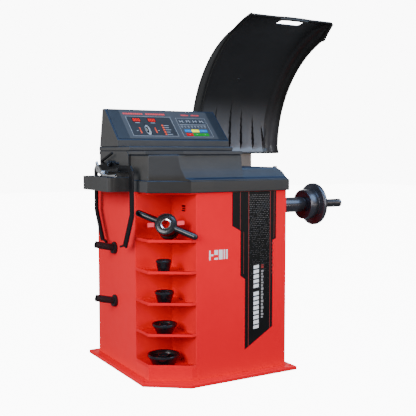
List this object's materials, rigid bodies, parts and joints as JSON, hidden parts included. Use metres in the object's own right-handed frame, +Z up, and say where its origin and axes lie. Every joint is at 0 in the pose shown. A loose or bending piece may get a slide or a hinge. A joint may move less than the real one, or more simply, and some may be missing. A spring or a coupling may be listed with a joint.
{
  "type": "wheel balancer",
  "caption": "Free-standing wheel balancing machine with a belt-driven spindle, swinging wheel guard, sloping control console and a corner rack of centring cones.",
  "frame": {"origin": "on the floor under the middle of the floor plate", "axes": "+Z up, +X towards the spindle's free end, -Y towards the operator"},
  "size_m": [1.198, 0.766, 1.5746],
  "materials": {
    "red_paint": "gloss powder coat",
    "black_moulding": "fine grained",
    "console_moulding": "satin",
    "panel_film": "printed polyester",
    "guard_plastic": "smooth thermoformed",
    "black_steel": "satin black",
    "bright_steel": "ground",
    "chrome": "polished",
    "cast_part": "painted",
    "aluminium_part": "cast",
    "rubber_part": "moulded",
    "lever_red": "moulded",
    "bracket_paint": "satin",
    "board_green": "circuit board",
    "zinc": "zinc plated",
    "switch_black": "moulded"
  },
  "bodies": {
    "cabinet": {"base_plate": "red_paint", "cabinet_front_panel": "red_paint", "cabinet_left_panel": "red_paint", "cabinet_rear_panel": "red_paint", "cabinet_right_panel": "red_paint", "caliper_hanger": "black_moulding", "console_base": "console_moulding", "console_housing": "console_moulding", "control_board": "board_green", "control_panel": "panel_film", "drive_belt": "rubber_part", "drive_motor": "aluminium_part", "guard_hinge_brackets": "bracket_paint", "motor_bracket": "bracket_paint", "peg_lower": "rubber_part", "peg_upper": "rubber_part", "piezo_sensors": "bright_steel", "power_inlet": "switch_black", "power_supply": "zinc", "rack_back_wall": "red_paint", "rack_floor": "red_paint", "rack_header": "red_paint", "rack_kick_panel": "red_paint", "rack_shelf_1": "red_paint", "rack_shelf_2": "red_paint", "rack_shelf_3": "red_paint", "rack_shelf_4": "red_paint", "rack_side_wall": "red_paint", "rear_cover": "red_paint", "rear_cover_screws": "zinc", "side_tool_tray": "black_moulding", "spindle_bearings": "bright_steel", "spindle_column": "bracket_paint", "spindle_housing": "black_steel", "spindle_saddle": "cast_part", "top_cover": "black_moulding", "weight_tray": "black_moulding"},
    "spindle": {"spindle_shaft": "bright_steel", "spindle_hub": "black_steel", "mounting_disc": "black_steel", "spindle_pulley": "aluminium_part", "encoder_disc": "bright_steel"},
    "motor_rotor": {"motor_pulley": "bright_steel"},
    "guard": {"wheel_guard": "guard_plastic", "guard_arm": "bracket_paint", "guard_bolts": "zinc"},
    "gauge": {"distance_gauge": "bright_steel"},
    "cone_small": {"cone_small": "black_steel"},
    "cone_medium": {"cone_medium": "black_steel"},
    "cone_large": {"cone_large": "black_steel"},
    "cone_extra_large": {"cone_extra_large": "black_steel"},
    "quick_nut": {"quick_nut_body": "black_steel", "quick_nut_cup": "rubber_part"},
    "nut_levers": {"quick_nut_levers": "lever_red"},
    "caliper": {"caliper_rear_arm": "black_steel", "caliper_knob": "black_steel"},
    "caliper_swing_arm": {"caliper_front_arm": "black_steel"},
    "pliers": {"pliers_hammer_half": "chrome"},
    "pliers_jaw": {"pliers_jaw_half": "chrome"},
    "rocker": {"power_rocker": "switch_black"}
  },
  "joints": [
    {"name": "spindle_turn", "type": "hinge", "parent": "cabinet", "child": "spindle", "pos_m": [0.3, -0.126, 0.708], "axis": [1, 0, 0], "continuous": true},
    {"name": "motor_turn", "type": "hinge", "parent": "cabinet", "child": "motor_rotor", "pos_m": [0.06, 0.06, 0.43], "axis": [1, 0, 0], "continuous": true},
    {"name": "guard_swing", "type": "hinge", "parent": "cabinet", "child": "guard", "pos_m": [0.37, 0.362, 0.765], "axis": [1, 0, 0], "range_deg": [0, 45]},
    {"name": "gauge_slide", "type": "slide", "parent": "cabinet", "child": "gauge", "axis": [1, 0, 0], "range_m": [0, 0.2]},
    {"name": "cone_small_lift", "type": "slide", "parent": "cabinet", "child": "cone_small", "axis": [0, 0, 1], "range_m": [0, 0.05]},
    {"name": "cone_medium_lift", "type": "slide", "parent": "cabinet", "child": "cone_medium", "axis": [0, 0, 1], "range_m": [0, 0.05]},
    {"name": "cone_large_lift", "type": "slide", "parent": "cabinet", "child": "cone_large", "axis": [0, 0, 1], "range_m": [0, 0.05]},
    {"name": "cone_extra_large_lift", "type": "slide", "parent": "cabinet", "child": "cone_extra_large", "axis": [0, 0, 1], "range_m": [0, 0.05]},
    {"name": "quick_nut_lift", "type": "slide", "parent": "cabinet", "child": "quick_nut", "axis": [-0.2241, -0.8365, 0.5], "range_m": [0, 0.12]},
    {"name": "nut_release", "type": "slide", "parent": "quick_nut", "child": "nut_levers", "axis": [0.5777, 0.6885, -0.4384], "range_m": [0, 0.006], "stiffness_N_per_m": 1500},
    {"name": "caliper_lift_off", "type": "slide", "parent": "cabinet", "child": "caliper", "axis": [-1, 0, 0], "range_m": [0, 0.012]},
    {"name": "caliper_open", "type": "hinge", "parent": "caliper", "child": "caliper_swing_arm", "pos_m": [-0.349, 0.04, 0.905], "axis": [1, 0, 0], "range_deg": [-30, 0]},
    {"name": "pliers_lift", "type": "slide", "parent": "cabinet", "child": "pliers", "axis": [0, 0, 1], "range_m": [0, 0.06]},
    {"name": "pliers_open", "type": "hinge", "parent": "pliers", "child": "pliers_jaw", "pos_m": [-0.384, 0.072, 0.865], "axis": [1, 0, 0], "range_deg": [-14, 4]},
    {"name": "power_switch", "type": "hinge", "parent": "cabinet", "child": "rocker", "pos_m": [-0.27, 0.312, 0.322], "axis": [1, 0, 0], "range_deg": [0, 10]}
  ],
  "couplings": [
    {"joint": "motor_turn", "follows": "spindle_turn", "ratio": 3.6842}
  ]
}
